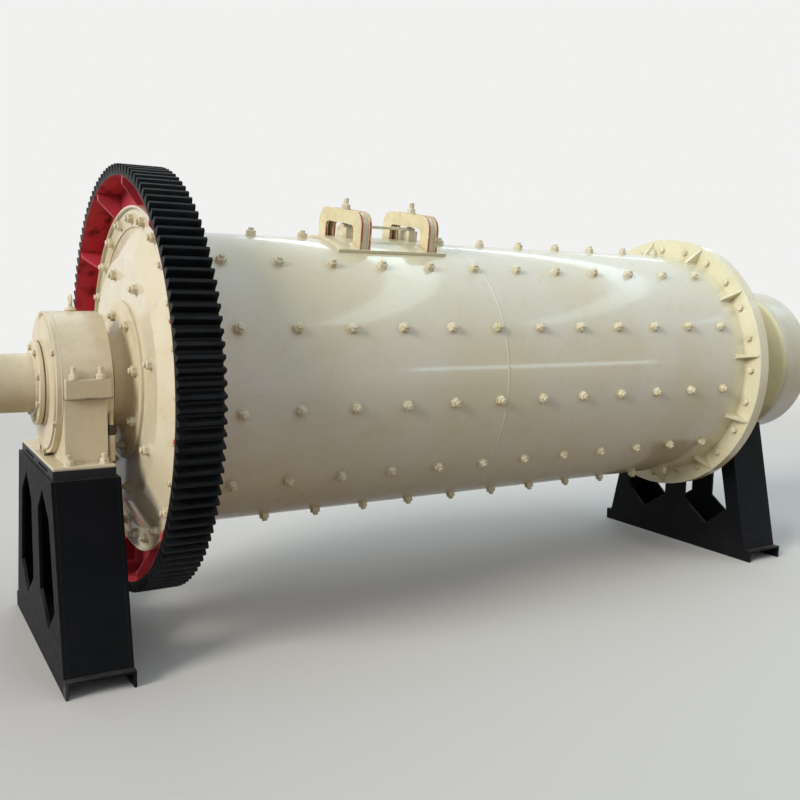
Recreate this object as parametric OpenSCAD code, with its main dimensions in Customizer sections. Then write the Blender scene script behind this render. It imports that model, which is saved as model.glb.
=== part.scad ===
// Ball mill: welded drum with a toothed ring gear, carried at both ends in
// split bearing housings on windowed box pedestals.
// Millimetres. +Z up, floor at z = 0, drum axis along +X, ring gear at -X.
// The origin is the floor point under the middle of the whole machine.

/* [Shell] */
// Length of the shell between its two flange faces
shell_length = 3000; // [2600:10:3400]
// Inside radius of the shell
shell_bore_r = 600; // [590:1:604]
// Thickness of the shell plate
shell_plate = 12; // [10:1:16]
// Height of all the bolted flanges over the shell
flange_h = 92; // [80:1:104]
// Thickness of each shell flange
shell_flange_t = 25; // [20:1:32]
// Number of gussets behind each shell flange
gusset_count = 12; // [6:6:12]
// Length of a gusset along the shell
gusset_length = 85; // [60:1:110]
// Thickness of a gusset plate
gusset_t = 14; // [10:1:18]
// Gap between a gusset's tip and the rim of its flange
gusset_rim_gap = 8; // [4:1:14]
// Height of a gusset's thin end
gusset_toe = 3; // [2:1:8]

/* [Ring gear] */
// Gear module
gear_module = 14; // [13.8:0.1:14.4]
// Pressure angle of the teeth
pressure_angle = 20; // [18:1:22]
// Width of the toothed rim along the axis
gear_width = 167; // [150:1:180]
// Least thickness of the rim under the tooth roots
rim_under_teeth = 12; // [10:1:20]
// Free height of the gear web between the flanges and the rim
gear_web_free = 112; // [100:1:120]
// Distance from the rim's outer face to the web
gear_web_depth = 102; // [92:1:110]
// Thickness of the gear web
gear_web_t = 25; // [20:1:30]
// Number of ribs on each side of the web
gear_rib_count = 12; // [6:2:16]
// Turn of the first gear rib from the top of the drum
gear_rib_turn = 10; // [0:1:15]
// Thickness of a gear rib
gear_rib_t = 12; // [8:1:16]
// Gap between a gear rib and the flanges
gear_rib_gap = 6; // [3:1:10]
// Height of a gear rib's straight edge under the rim
gear_rib_edge = 30; // [20:1:40]
// Setback of a gear rib from the rim's faces
gear_rib_setback = 4; // [2:1:10]
// Lean of a gear rib's edge on the shell's side
gear_rib_lean = 8; // [4:1:16]

/* [Drum heads] */
// Thickness of a head at its bolted rim
head_rim_t = 37; // [32:1:44]
// Radial width of a head's raised rim
head_rim_w = 84; // [70:1:90]
// Width of the lip round the raised rim
head_lip_w = 9; // [6:1:14]
// Height of the lip over the ring that takes the bolts
head_lip_h = 13; // [8:1:16]
// Depth of the step inside that ring
head_step = 6; // [3:1:9]
// Height of the flat face above the seat of the head
head_face_h = 71; // [64:1:80]
// Radial width of the cone between the raised rim and the flat face
head_cone_w = 122; // [100:1:150]
// Wall thickness of a head behind its flat face
head_wall = 36; // [28:1:44]

/* [Trunnions] */
// Radial width of the trunnion's bolted foot outside the neck's fillet
trunnion_foot_w = 90; // [70:1:110]
// Thickness of the trunnion's bolted foot
trunnion_foot_t = 12; // [8:1:20]
// Height of the neck over the journal
neck_step = 42; // [34:1:50]
// Length of the straight neck between its fillet and the inner cover's gap
neck_straight = 19.5; // [14:0.5:30]
// Radius of the fillet between foot and neck
neck_fillet = 40; // [20:1:48]
// Rise of the cone between the foot's flat ring and the fillet
neck_rise = 8; // [4:1:14]
// Width of the foot's flat ring
foot_ring_w = 40; // [30:1:44]
// Radius of the journal
journal_r = 150; // [140:1:158]
// Radius of the way through trunnion and tube
way_r = 105; // [90:1:112]
// Height over the journal of the bolted ring on its end
end_ring_h = 16; // [12:1:22]
// Thickness of that ring
end_ring_t = 16; // [12:1:22]
// Thickness of the collar outside the ring over the tube
end_hub_h = 12; // [8:1:18]
// Length of the collar
end_hub_l = 7; // [4:1:12]
// Wall of the tube
tube_wall = 10; // [8:1:14]
// Length of the feed tube outside its collar
feed_tube_l = 160; // [90:1:230]

/* [Discharge drum] */
// Radius of the discharge drum
discharge_r = 416; // [380:1:440]
// Width of the discharge drum
discharge_w = 220; // [180:1:260]
// Rounding of its rims
discharge_round = 34; // [20:1:50]
// Plate thickness of the discharge drum
discharge_plate = 10; // [6:1:14]
// Tube length between its collar and the discharge drum
discharge_tube_l = 147; // [110:1:180]

/* [Manhole] */
// Distance of the manhole from the middle of the shell, towards the gear
manhole_shift = 460; // [420:1:480]
// Turn of the manhole from the side of the drum
manhole_angle = 82.5; // [80:0.5:85]
// Length of the manhole along the drum
manhole_l = 390; // [360:5:400]
// Width of the manhole around the drum
manhole_w = 250; // [220:5:280]
// Border of the doubler frame beyond the manhole's ends
frame_border = 75; // [60:1:90]
// Offset of the doubler frame from the manhole's middle, towards the gear
frame_offset = 26; // [0:1:34]
// Border of the doubler frame beyond the bows' legs
frame_side = 6; // [4:1:12]
// Thickness of the doubler frame
frame_t = 14; // [10:1:18]
// Gap all round the cover
cover_gap = 4; // [3:1:6]
// Width of the cover's lip under the shell
cover_lip_w = 26; // [18:1:34]
// Thickness of the cover's lip
cover_lip_t = 12; // [8:1:14]
// Distance of a bow's middle from the manhole's end
bow_inset = 24.5; // [18:0.5:30]
// Thickness of a bow's plates
bow_plate = 13; // [10:1:16]
// Width over both plates of a bow
bow_width = 53; // [48:1:58]
// Gap between a bow's leg and the manhole's side
bow_gap = 14; // [8:1:20]
// Height of a bow over the shell
bow_h = 136; // [126:1:148]
// Width of the bow's legs
bow_leg = 69; // [60:1:76]
// Depth of the bow's top bar
bow_bar = 60; // [50:1:66]
// Outer corner radius of a bow
bow_corner = 66; // [54:1:76]
// Corner radius of a bow's window
bow_window_corner = 28; // [20:1:34]
// Thickness of the strip between the plates
bow_strip_t = 14; // [10:1:18]
// Setback of that strip from the plates' outline
bow_setback = 7; // [4:1:10]
// Length of a clamp block around the drum
clamp_l = 96; // [80:1:110]
// Width of a clamp block along the drum
clamp_w = 46; // [40:1:50]
// Distance of the clamp blocks from the cover's ends
clamp_inset = 6; // [3:1:12]
// Width of the tie bar over the clamp blocks
tie_w = 44; // [36:1:50]
// Thickness of the tie bar
tie_t = 12; // [8:1:14]
// Gap between the tie bar and the bows over it
tie_gap = 6; // [4:1:10]

/* [Bearings] */
// Height of the drum axis over the floor
axis_h = 1075; // [1060:1:1110]
// Radial running clearance on the journal
running_gap = 0.05; // [0.02:0.01:0.09]
// Width of a bearing housing
housing_w = 185; // [176:1:194]
// Radius of a bearing housing
housing_r = 280; // [272:1:290]
// Chamfer on the housing's outer edges
housing_chamfer = 3; // [2:0.5:6]
// Setback of the housing's block from its outer face
block_setback = 2; // [1:0.5:5]
// Setback of the block from the face on the drum's side
block_step = 26; // [20:1:30]
// Setback of the cap lugs from the outer face
lug_setback = 6; // [3:1:10]
// Setback of the lugs from the face on the drum's side
lug_step = 14; // [8:1:20]
// Depth of the parting line under the axis
parting_drop = 37; // [10:1:40]
// Height of the cap lugs over the parting line
lug_h = 73; // [60:1:90]
// Reach of the cap lugs beyond the housing's block
lug_reach = 26; // [18:1:32]
// Lean of the lugs' faces, outward at their top
lug_lean = 5; // [2:1:8]
// Height of the round housing's lowest line over the foot plate
housing_sill = 2; // [1:1:10]
// Thickness of the housing's foot plate
foot_t = 10; // [8:1:20]
// Reach of the foot plate beyond the housing's block
foot_reach = 65; // [56:1:70]
// Reach of the foot plate beyond the housing's faces
foot_side = 18.5; // [14:0.5:22]
// Radius of the inner cover
inner_cover_r = 218; // [212:1:226]
// Thickness of the inner cover
inner_cover_t = 12; // [8:1:18]
// Gap between the inner cover and the neck
neck_gap = 11; // [8:1:14]
// Setback of the outer cover's flange from the housing's radius
cover_flange_setback = 1; // [1:0.5:6]
// Thickness of that flange
cover_flange_t = 20; // [16:1:24]
// Setback of the outer cover's raised disc from its flange
cover_disc_setback = 17; // [12:1:24]
// Thickness of the raised disc
cover_disc_t = 7; // [4:0.5:10]
// Height of the outer cover's hub over the journal
cover_hub_h = 20; // [14:1:28]
// Length of the hub
cover_hub_l = 10; // [8:0.5:16]
// Gap between a cover and the journal
seal_gap = 2; // [1.5:0.1:3]
// Gap between the outer cover and the end ring
ring_gap = 6; // [5:0.5:9]

/* [Pedestals] */
// Distance from a bearing's middle to its pedestal's middle, outward
pedestal_shift = 34; // [26:1:40]
// Margin of the sole plate round the foot plate
sole_margin = 3; // [2:1:8]
// Thickness of the sole plate
sole_t = 34; // [30:1:40]
// Margin of the pedestal's top beyond the sole plate, along the drum
pedestal_margin = 11; // [6:1:16]
// The same margin across the drum
pedestal_shoulder = 24; // [16:1:32]
// Spread of a pedestal's sides from its top to its bottom
pedestal_spread = 152; // [130:1:170]
// Thickness of the pedestal plates
pedestal_plate = 14; // [10:1:18]
// Length of a slot in the sole plate's edge
sole_slot_l = 194; // [160:2:200]
// Height of such a slot
sole_slot_h = 14; // [10:1:18]
// Depth of such a slot
sole_slot_d = 46; // [30:1:60]
// Distance of a slot's middle from the middle of the plate
sole_slot_y = 148; // [130:1:160]
// Width of the post between the two windows
window_post = 150; // [130:2:170]
// Width of the band beside a window
window_band = 96; // [86:1:106]
// Height of the windows' lower points over the pedestal's foot
window_low = 88; // [70:1:110]
// Height of the lower points' flanks
window_low_flank = 112; // [90:1:130]
// Distance of the windows' upper points from the pedestal's top
window_high = 62; // [50:1:80]
// Height of the upper points' flanks
window_high_flank = 92; // [70:1:110]

/* [Base channels] */
// Height of a base channel
channel_h = 64; // [56:1:72]
// Thickness of its web and flanges
channel_t = 10; // [8:1:14]
// Reach of a base channel beyond its pedestal
channel_reach = 38; // [28:1:48]
// Radius of the anchor holes
anchor_r = 14; // [12:0.5:16]
// Distance of the anchor holes from the channel's long edges
anchor_edge = 60; // [50:1:70]
// Distance of the anchor holes from the pedestal's sides, inward
anchor_inset = 84; // [60:1:100]

/* [Hidden] */
$fn = 96;
// Overshoot of cutting bodies past the faces they cut
over = 1;
// Depth by which raw shapes start inside the round face that trims them
trim = 4;
shell_r = shell_bore_r + shell_plate;
flange_r = shell_r + flange_h;
head_seat_r = flange_r - head_rim_w;
head_face_r = head_seat_r - head_cone_w;
neck_r = journal_r + neck_step;
trunnion_foot_r = neck_r + neck_fillet + trunnion_foot_w;
tube_r = way_r + tube_wall;
end_ring_r = journal_r + end_ring_h;
end_hub_r = tube_r + end_hub_h;

// Distances outward from a head's seat
neck_v = head_face_h + trunnion_foot_t + neck_rise + neck_fillet + neck_straight;
housing_v0 = neck_v + neck_gap + inner_cover_t;
housing_v1 = housing_v0 + housing_w;
bearing_v = (housing_v0 + housing_v1) / 2;
pedestal_v = bearing_v + pedestal_shift;
cover_end_v = housing_v1 + cover_flange_t + cover_disc_t + cover_hub_l;
journal_end_v = cover_end_v + ring_gap;
hub_end_v = journal_end_v + end_ring_t + end_hub_l;
feed_end_v = hub_end_v + feed_tube_l;
discharge_v = hub_end_v + discharge_tube_l;
discharge_end_v = discharge_v + discharge_w;

near_face_x0 = shell_length / 2 + gear_web_t;
far_face_x0 = shell_length / 2;
shell_mid_x = (near_face_x0 + feed_end_v - far_face_x0 - discharge_end_v) / 2;
near_seat_x = shell_mid_x - near_face_x0;
far_seat_x = shell_mid_x + far_face_x0;

// Ring gear: as many teeth as the flange, the free web and the rim need
dedendum = 1.25 * gear_module;
rim_bore_r = flange_r + gear_web_free;
gear_teeth = ceil(2 * (rim_bore_r + rim_under_teeth + dedendum) / gear_module);
gear_pitch_r = gear_module * gear_teeth / 2;
gear_tip_r = gear_pitch_r + gear_module;
gear_root_r = gear_pitch_r - dedendum;
gear_base_r = gear_pitch_r * cos(pressure_angle);

// Supports
foot_w = housing_w + 2 * foot_side;
foot_half = housing_r + foot_reach;
sole_w = foot_w + 2 * sole_margin;
sole_half = foot_half + sole_margin;
pedestal_w = sole_w + 2 * pedestal_margin;
pedestal_top_half = sole_half + pedestal_shoulder;
pedestal_bottom_half = pedestal_top_half + pedestal_spread;
channel_half = pedestal_bottom_half + channel_reach;
anchor_dx = pedestal_w - 2 * anchor_edge;
anchor_dy = 2 * (pedestal_bottom_half - anchor_inset);
foot_z = axis_h - channel_h;
sole_z = housing_r + housing_sill + foot_t;
pedestal_h = foot_z - sole_z - sole_t;

// Manhole
saddle_r = shell_r + frame_t;
bow_half = manhole_w / 2 + bow_gap + bow_leg;
bow_x = manhole_l / 2 - bow_inset;
bow_base_z = sqrt(shell_r * shell_r - bow_half * bow_half) - trim;
frame_l = manhole_l + 2 * frame_border;
clamp_h = shell_r + bow_h - bow_bar - tie_gap - tie_t - saddle_r;
frame_half_angle = asin((bow_half + frame_side) / saddle_r);
gusset_turn = 90 - manhole_angle + 180 / gusset_count;
arc_steps = 8;
flank_steps = 3;

// Placement: x is the distance outward from a head's seat, z is from the axis
module at_near() {
  translate([near_seat_x, 0, axis_h])
    mirror([1, 0, 0])
      children();
}

module at_far() {
  translate([far_seat_x, 0, axis_h])
    children();
}

module at_manhole() {
  translate([shell_mid_x - manhole_shift, 0, axis_h])
    rotate([90 - manhole_angle, 0, 0])
      children();
}

// Solid of revolution about the drum axis from [radius, x] points
module turned(points) {
  rotate([0, 90, 0])
    rotate_extrude()
      polygon(points);
}

// Plate drawn in [y, z] and extruded from x0 along +X
module plate_yz(points, x0, t) {
  translate([x0, 0, 0])
    rotate([90, 0, 90])
      linear_extrude(height = t)
        polygon(points);
}

module ring(r_in, r_out, x0, x1) {
  turned([[r_in, x0], [r_out, x0], [r_out, x1], [r_in, x1]]);
}

module bar_x(r, x0, x1) {
  translate([x0, 0, 0])
    rotate([0, 90, 0])
      cylinder(r = r, h = x1 - x0);
}

function arc(cx, cy, r, a0, a1) =
  [for (i = [0:arc_steps]) let (a = a0 + (a1 - a0) * i / arc_steps) [cx + r * cos(a), cy + r * sin(a)]];

// Base channels: web up, flanges down on the floor
module base_channel() {
  color("dimgray")
    translate([pedestal_v, 0, -axis_h])
      difference() {
        translate([-pedestal_w / 2, -channel_half, 0])
          cube([pedestal_w, 2 * channel_half, channel_h]);
        translate([-pedestal_w / 2 + channel_t, -channel_half - over, -over])
          cube([pedestal_w - 2 * channel_t, 2 * (channel_half + over), channel_h - channel_t + over]);
        for (sx = [-1, 1])
          for (sy = [-1, 1])
            translate([sx * anchor_dx / 2, sy * anchor_dy / 2, 0])
              cylinder(r = anchor_r, h = channel_h + over);
      }
}

// Pedestals: [y, z] with z from the pedestal's foot
function side_y(z) = pedestal_bottom_half + (pedestal_top_half - pedestal_bottom_half) * z / pedestal_h;

function window_points() =
  let (
    z0 = window_low,
    z1 = window_low + window_low_flank,
    z2 = pedestal_h - window_high - window_high_flank,
    z3 = pedestal_h - window_high,
    inner = window_post / 2
  )
  [
    [(inner + side_y(z0) - window_band) / 2, z0],
    [side_y(z1) - window_band, z1],
    [side_y(z2) - window_band, z2],
    [(inner + side_y(z3) - window_band) / 2, z3],
    [inner, z2],
    [inner, z1]
  ];

module pedestal_face(x0) {
  difference() {
    plate_yz(
      [
        [-pedestal_bottom_half, 0],
        [pedestal_bottom_half, 0],
        [pedestal_top_half, pedestal_h],
        [-pedestal_top_half, pedestal_h]
      ],
      x0, pedestal_plate
    );
    for (s = [-1, 1])
      plate_yz([for (p = window_points()) [s * p[0], p[1]]], x0 - over, pedestal_plate + 2 * over);
  }
}

module pedestal_faces() {
  color("dimgray")
    translate([pedestal_v, 0, -foot_z]) {
      pedestal_face(-pedestal_w / 2);
      pedestal_face(pedestal_w / 2 - pedestal_plate);
    }
}

module pedestal_sides() {
  color("dimgray")
    translate([pedestal_v, 0, -foot_z])
      for (s = [-1, 1])
        plate_yz(
          [
            [s * pedestal_bottom_half, 0],
            [s * pedestal_top_half, pedestal_h],
            [s * (pedestal_top_half - pedestal_plate), pedestal_h],
            [s * (pedestal_bottom_half - pedestal_plate), 0]
          ],
          pedestal_plate - pedestal_w / 2, pedestal_w - 2 * pedestal_plate
        );
}

// Sole plate with two slots in each long edge
module sole_plate() {
  slot = [sole_slot_d + over, sole_slot_l, sole_slot_h];
  color("dimgray")
    translate([pedestal_v, 0, pedestal_h - foot_z])
      difference() {
        translate([-sole_w / 2, -sole_half, 0])
          cube([sole_w, 2 * sole_half, sole_t]);
        for (sx = [-1, 1])
          for (sy = [-1, 1])
            translate([sx * (sole_w + over - sole_slot_d) / 2, sy * sole_slot_y, sole_t / 2])
              cube(slot, center = true);
      }
}

// Bearings: a round housing on a block, split at the parting line
module housing_barrel() {
  r0 = journal_r + running_gap;
  c = housing_chamfer;
  turned([
    [r0, housing_v0], [housing_r - c, housing_v0], [housing_r, housing_v0 + c],
    [housing_r, housing_v1 - c], [housing_r - c, housing_v1], [r0, housing_v1]
  ]);
}

module housing_bore() {
  bar_x(journal_r + running_gap, housing_v0 - over, housing_v1 + over);
}

module housing_half_space(z0) {
  translate([housing_v0 - foot_w, -foot_half - over, z0])
    cube([housing_w + 2 * foot_w, 2 * (foot_half + over), 2 * housing_r]);
}

module bearing_base() {
  block_w = housing_w - block_step - block_setback;
  color("wheat")
    difference() {
      union() {
        housing_barrel();
        translate([housing_v0 + block_step, -housing_r, foot_t - sole_z])
          cube([block_w, 2 * housing_r, sole_z - foot_t]);
        translate([pedestal_v - foot_w / 2, -foot_half, -sole_z])
          cube([foot_w, 2 * foot_half, foot_t]);
      }
      housing_half_space(-parting_drop);
      housing_bore();
    }
}

module bearing_cap() {
  y0 = housing_r + lug_reach - lug_lean;
  y1 = housing_r + lug_reach;
  z0 = -parting_drop;
  z1 = lug_h - parting_drop;
  lug_w = housing_w - lug_step - lug_setback;
  color("wheat")
    difference() {
      union() {
        housing_barrel();
        plate_yz([[-y0, z0], [y0, z0], [y1, z1], [-y1, z1]], housing_v0 + lug_step, lug_w);
      }
      housing_half_space(-parting_drop - 2 * housing_r);
      housing_bore();
    }
}

module inner_cover() {
  color("wheat")
    ring(journal_r + seal_gap, inner_cover_r, housing_v0 - inner_cover_t, housing_v0);
}

module outer_cover() {
  x0 = housing_v1;
  x1 = x0 + cover_flange_t;
  x2 = x1 + cover_disc_t;
  r0 = journal_r + seal_gap;
  r1 = housing_r - cover_flange_setback;
  r2 = r1 - cover_disc_setback;
  r3 = journal_r + cover_hub_h;
  color("wheat")
    turned([[r0, x0], [r1, x0], [r1, x1], [r2, x1], [r2, x2], [r3, x2], [r3, cover_end_v], [r0, cover_end_v]]);
}

// Shell with its two flanges and the manhole cut
module shell() {
  x0 = -shell_length / 2;
  x1 = shell_length / 2;
  color("wheat")
    difference() {
      translate([shell_mid_x, 0, axis_h])
        turned([
          [shell_bore_r, x0], [flange_r, x0], [flange_r, x0 + shell_flange_t], [shell_r, x0 + shell_flange_t],
          [shell_r, x1 - shell_flange_t], [flange_r, x1 - shell_flange_t], [flange_r, x1], [shell_bore_r, x1]
        ]);
      manhole_cut(0);
    }
}

module manhole_cut(gap) {
  at_manhole()
    translate([-manhole_l / 2 + gap, -manhole_w / 2 + gap, shell_r / 2])
      cube([manhole_l - 2 * gap, manhole_w - 2 * gap, shell_r]);
}

module shell_gussets() {
  x0 = shell_length / 2 - shell_flange_t;
  r1 = flange_r - gusset_rim_gap;
  r0 = sqrt(shell_r * shell_r - gusset_t * gusset_t / 4);
  x2 = x0 - gusset_length;
  color("wheat")
    translate([shell_mid_x, 0, axis_h])
      for (s = [-1, 1])
        for (i = [0:gusset_count - 1])
          rotate([gusset_turn + i * 360 / gusset_count, 0, 0])
            difference() {
              translate([0, gusset_t / 2, 0])
                rotate([90, 0, 0])
                  linear_extrude(height = gusset_t)
                    polygon([[s * x0, r0 - trim], [s * x0, r1], [s * x2, r0 + gusset_toe], [s * x2, r0 - trim]]);
              bar_x(shell_r, -shell_length / 2, shell_length / 2);
            }
}

// Ring gear: involute half angle of a tooth at radius r
function inv_angle(a) = tan(a) * 180 / PI - a;
function tooth_half(r) = 90 / gear_teeth + inv_angle(pressure_angle) - inv_angle(acos(gear_base_r / r));

function tooth_flank() =
  [for (k = [0:flank_steps]) gear_root_r + (gear_tip_r - gear_root_r) * k / flank_steps];

function gear_points() =
  [
    for (i = [0:gear_teeth - 1])
      let (a0 = i * 360 / gear_teeth, f = tooth_flank())
        for (s = [-1, 1])
          for (k = [0:flank_steps])
            let (r = s < 0 ? f[k] : f[flank_steps - k], a = a0 + s * tooth_half(r))
              [r * cos(a), r * sin(a)]
  ];

module at_gear() {
  translate([near_seat_x, 0, axis_h])
    children();
}

module gear_rim() {
  color("black")
    at_gear()
      difference() {
        translate([-gear_web_depth, 0, 0])
          rotate([90, 0, 90])
            linear_extrude(height = gear_width)
              polygon(gear_points());
        bar_x(rim_bore_r, -gear_web_depth - over, gear_width);
      }
}

module gear_web() {
  color("firebrick")
    at_gear()
      ring(shell_bore_r, rim_bore_r, 0, gear_web_t);
}

module gear_ribs() {
  r0 = flange_r + gear_rib_gap;
  r1 = rim_bore_r - gear_rib_edge;
  r2 = rim_bore_r + trim;
  x0 = gear_rib_setback - gear_web_depth;
  x1 = gear_width - gear_web_depth - gear_rib_setback;
  color("firebrick")
    at_gear()
      for (i = [0:gear_rib_count - 1])
        rotate([gear_rib_turn + i * 360 / gear_rib_count, 0, 0])
          intersection() {
            translate([0, gear_rib_t / 2, 0])
              rotate([90, 0, 0])
                linear_extrude(height = gear_rib_t) {
                  polygon([[0, r0], [-head_rim_t, r0], [x0, r1], [x0, r2], [0, r2]]);
                  polygon([[gear_web_t, r0], [x1 - gear_rib_lean, r0], [x1, r1], [x1, r2], [gear_web_t, r2]]);
                }
            bar_x(rim_bore_r, -gear_web_depth, gear_width);
          }
}

// Drum heads: raised bolted rim, shallow cone, flat face, way through
module head() {
  inside_r = shell_bore_r;
  inside_h = head_face_h - head_wall;
  lip_r = flange_r - head_lip_w;
  ring_h = head_rim_t - head_lip_h;
  color("wheat")
    turned([
      [way_r, inside_h], [head_face_r - head_wall, inside_h], [inside_r, 0], [flange_r, 0],
      [flange_r, head_rim_t], [lip_r, head_rim_t], [lip_r, ring_h],
      [head_seat_r, ring_h], [head_seat_r, ring_h - head_step],
      [head_face_r, head_face_h], [way_r, head_face_h]
    ]);
}

module trunnion() {
  x0 = head_face_h;
  x1 = x0 + trunnion_foot_t;
  color("wheat")
    turned(concat(
      [[way_r, x0], [trunnion_foot_r, x0], [trunnion_foot_r, x1], [trunnion_foot_r - foot_ring_w, x1]],
      arc(neck_r + neck_fillet, x1 + neck_fillet + neck_rise, neck_fillet, 270, 180),
      [[neck_r, neck_v], [journal_r, neck_v], [journal_r, journal_end_v], [way_r, journal_end_v]]
    ));
}

// Bolted ring, collar and tube outside a bearing
module end_tube(x_end) {
  x0 = journal_end_v;
  x1 = x0 + end_ring_t;
  color("wheat")
    turned([
      [way_r, x0], [end_ring_r, x0], [end_ring_r, x1], [end_hub_r, x1],
      [end_hub_r, hub_end_v], [tube_r, hub_end_v], [tube_r, x_end], [way_r, x_end]
    ]);
}

module discharge_drum() {
  x0 = discharge_v;
  x1 = discharge_end_v;
  p = discharge_plate;
  r = discharge_round;
  color("wheat")
    turned(concat(
      [[tube_r, x0]],
      arc(discharge_r - r, x0 + r, r, 270, 360),
      arc(discharge_r - r, x1 - r, r, 0, 90),
      [[tube_r, x1], [tube_r, x1 - p]],
      arc(discharge_r - r, x1 - r, r - p, 90, 0),
      arc(discharge_r - r, x0 + r, r - p, 360, 270),
      [[tube_r, x0 + p]]
    ));
}

// Manhole: x along the drum, z outward from the axis
module curved_plate(r0, r1, l, half_angle) {
  intersection() {
    ring(r0, r1, -l / 2, l / 2);
    rotate([90, 0, 90])
      translate([0, 0, -l / 2 - over])
        linear_extrude(height = l + 2 * over)
          polygon([
            [0, 0], [2 * r1 * sin(half_angle), 2 * r1 * cos(half_angle)],
            [-2 * r1 * sin(half_angle), 2 * r1 * cos(half_angle)]
          ]);
  }
}

module manhole_frame() {
  color("wheat")
    difference() {
      at_manhole()
        translate([-frame_offset, 0, 0])
          curved_plate(shell_r, saddle_r, frame_l, frame_half_angle);
      manhole_cut(0);
    }
}

module manhole_cover() {
  lip_r = shell_bore_r - cover_lip_t;
  color("wheat") {
    intersection() {
      at_manhole()
        ring(lip_r, saddle_r, -frame_l / 2, frame_l / 2);
      manhole_cut(cover_gap);
    }
    intersection() {
      at_manhole()
        ring(lip_r, shell_bore_r, -frame_l / 2, frame_l / 2);
      manhole_cut(-cover_lip_w);
    }
  }
}

// Arch in [y, z]: legs down to base, rounded shoulders, flat top
function arch(top, half, corner, base) =
  concat(
    [[half, base]],
    arc(half - corner, top - corner, corner, 0, 90),
    arc(corner - half, top - corner, corner, 90, 180),
    [[-half, base]]
  );

module bow_plates() {
  top = shell_r + bow_h;
  color("wheat")
    at_manhole()
      for (x = [-bow_x, bow_x])
        for (x0 = [x - bow_width / 2, x + bow_width / 2 - bow_plate])
          difference() {
            plate_yz(arch(top, bow_half, bow_corner, bow_base_z), x0, bow_plate);
            plate_yz(
              arch(top - bow_bar, bow_half - bow_leg, bow_window_corner, bow_base_z - over),
              x0 - over, bow_plate + 2 * over
            );
            bar_x(saddle_r, -frame_l, frame_l);
          }
}

module bow_strips() {
  w = bow_width - 2 * bow_plate;
  t = bow_strip_t;
  top = shell_r + bow_h - bow_setback;
  half = bow_half - bow_setback;
  color("wheat")
    at_manhole()
      for (x = [-bow_x, bow_x])
        difference() {
          plate_yz(arch(top, half, bow_corner, bow_base_z), x - w / 2, w);
          plate_yz(arch(top - t, half - t, bow_corner - t, bow_base_z - over), x - w, 2 * w);
          bar_x(saddle_r, -frame_l, frame_l);
        }
}

module clamp_blocks() {
  top = saddle_r + clamp_h;
  x = (manhole_l - clamp_w) / 2 - cover_gap - clamp_inset;
  color("wheat")
    at_manhole()
      for (s = [-1, 1])
        difference() {
          translate([s * x - clamp_w / 2, -clamp_l / 2, bow_base_z])
            cube([clamp_w, clamp_l, top - bow_base_z]);
          bar_x(saddle_r, -frame_l, frame_l);
        }
}

module tie_bar() {
  l = manhole_l - 2 * (cover_gap + clamp_inset);
  color("wheat")
    at_manhole()
      translate([-l / 2, -tie_w / 2, saddle_r + clamp_h])
        cube([l, tie_w, tie_t]);
}

at_near() base_channel();  // near_base_channel
at_near() pedestal_faces();  // near_pedestal_faces
at_near() pedestal_sides();  // near_pedestal_sides
at_near() sole_plate();  // near_sole_plate
at_near() bearing_base();  // near_bearing_base
at_near() bearing_cap();  // near_bearing_cap
at_near() inner_cover();  // near_inner_cover
at_near() outer_cover();  // near_outer_cover
at_far() base_channel();  // far_base_channel
at_far() pedestal_faces();  // far_pedestal_faces
at_far() pedestal_sides();  // far_pedestal_sides
at_far() sole_plate();  // far_sole_plate
at_far() bearing_base();  // far_bearing_base
at_far() bearing_cap();  // far_bearing_cap
at_far() inner_cover();  // far_inner_cover
at_far() outer_cover();  // far_outer_cover
shell();
shell_gussets();
gear_rim();
gear_web();
gear_ribs();
at_near() head();  // near_head
at_near() trunnion();  // near_trunnion
at_near() end_tube(feed_end_v);  // feed_tube
at_far() head();  // far_head
at_far() trunnion();  // far_trunnion
at_far() end_tube(discharge_v + discharge_plate);  // discharge_tube
at_far() discharge_drum();
manhole_frame();
manhole_cover();
bow_plates();  // manhole_bow_plates
bow_strips();  // manhole_bow_strips
clamp_blocks();  // manhole_clamp_blocks
tie_bar();  // manhole_tie_bar
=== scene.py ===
"""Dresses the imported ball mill: paint, fasteners, welds and lifting gear round the fixed frame, on a studio stage."""

import math

import bpy
import numpy as np
from bpy.props import FloatProperty, FloatVectorProperty, IntProperty, PointerProperty
from mathutils import Matrix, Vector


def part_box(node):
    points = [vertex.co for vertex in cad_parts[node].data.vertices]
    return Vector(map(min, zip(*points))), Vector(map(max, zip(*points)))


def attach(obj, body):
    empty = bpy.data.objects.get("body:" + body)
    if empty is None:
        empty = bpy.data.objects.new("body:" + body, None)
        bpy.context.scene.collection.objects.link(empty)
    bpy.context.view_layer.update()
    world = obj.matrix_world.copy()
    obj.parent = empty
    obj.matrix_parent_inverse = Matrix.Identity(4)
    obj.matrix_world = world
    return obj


bl_info = {
    "name": "Ball mill dressing",
    "version": (1, 0, 0),
    "blender": (4, 5, 0),
    "location": "3D View > Sidebar > Ball mill",
    "description": "Adds paint, fasteners, welds and a studio stage to the ball mill frame",
    "category": "Object",
}

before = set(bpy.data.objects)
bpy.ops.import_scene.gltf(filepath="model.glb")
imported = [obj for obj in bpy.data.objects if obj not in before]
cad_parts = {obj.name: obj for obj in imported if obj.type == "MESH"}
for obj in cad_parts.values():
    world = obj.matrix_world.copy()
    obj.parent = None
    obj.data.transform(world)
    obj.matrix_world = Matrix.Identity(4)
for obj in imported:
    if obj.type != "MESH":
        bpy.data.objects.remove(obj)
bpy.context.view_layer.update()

DRUM = "drum"
BASE = "base"
MM = 0.001
AHEAD, LEVEL, UP = np.eye(3)

# Seeds of the random turns of nuts and screws about their own axes.
SEEDS = {"liner_bolts": 7, "flange_bolts": 11, "head_bolts": 13, "bearing_bolts": 17}

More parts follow.
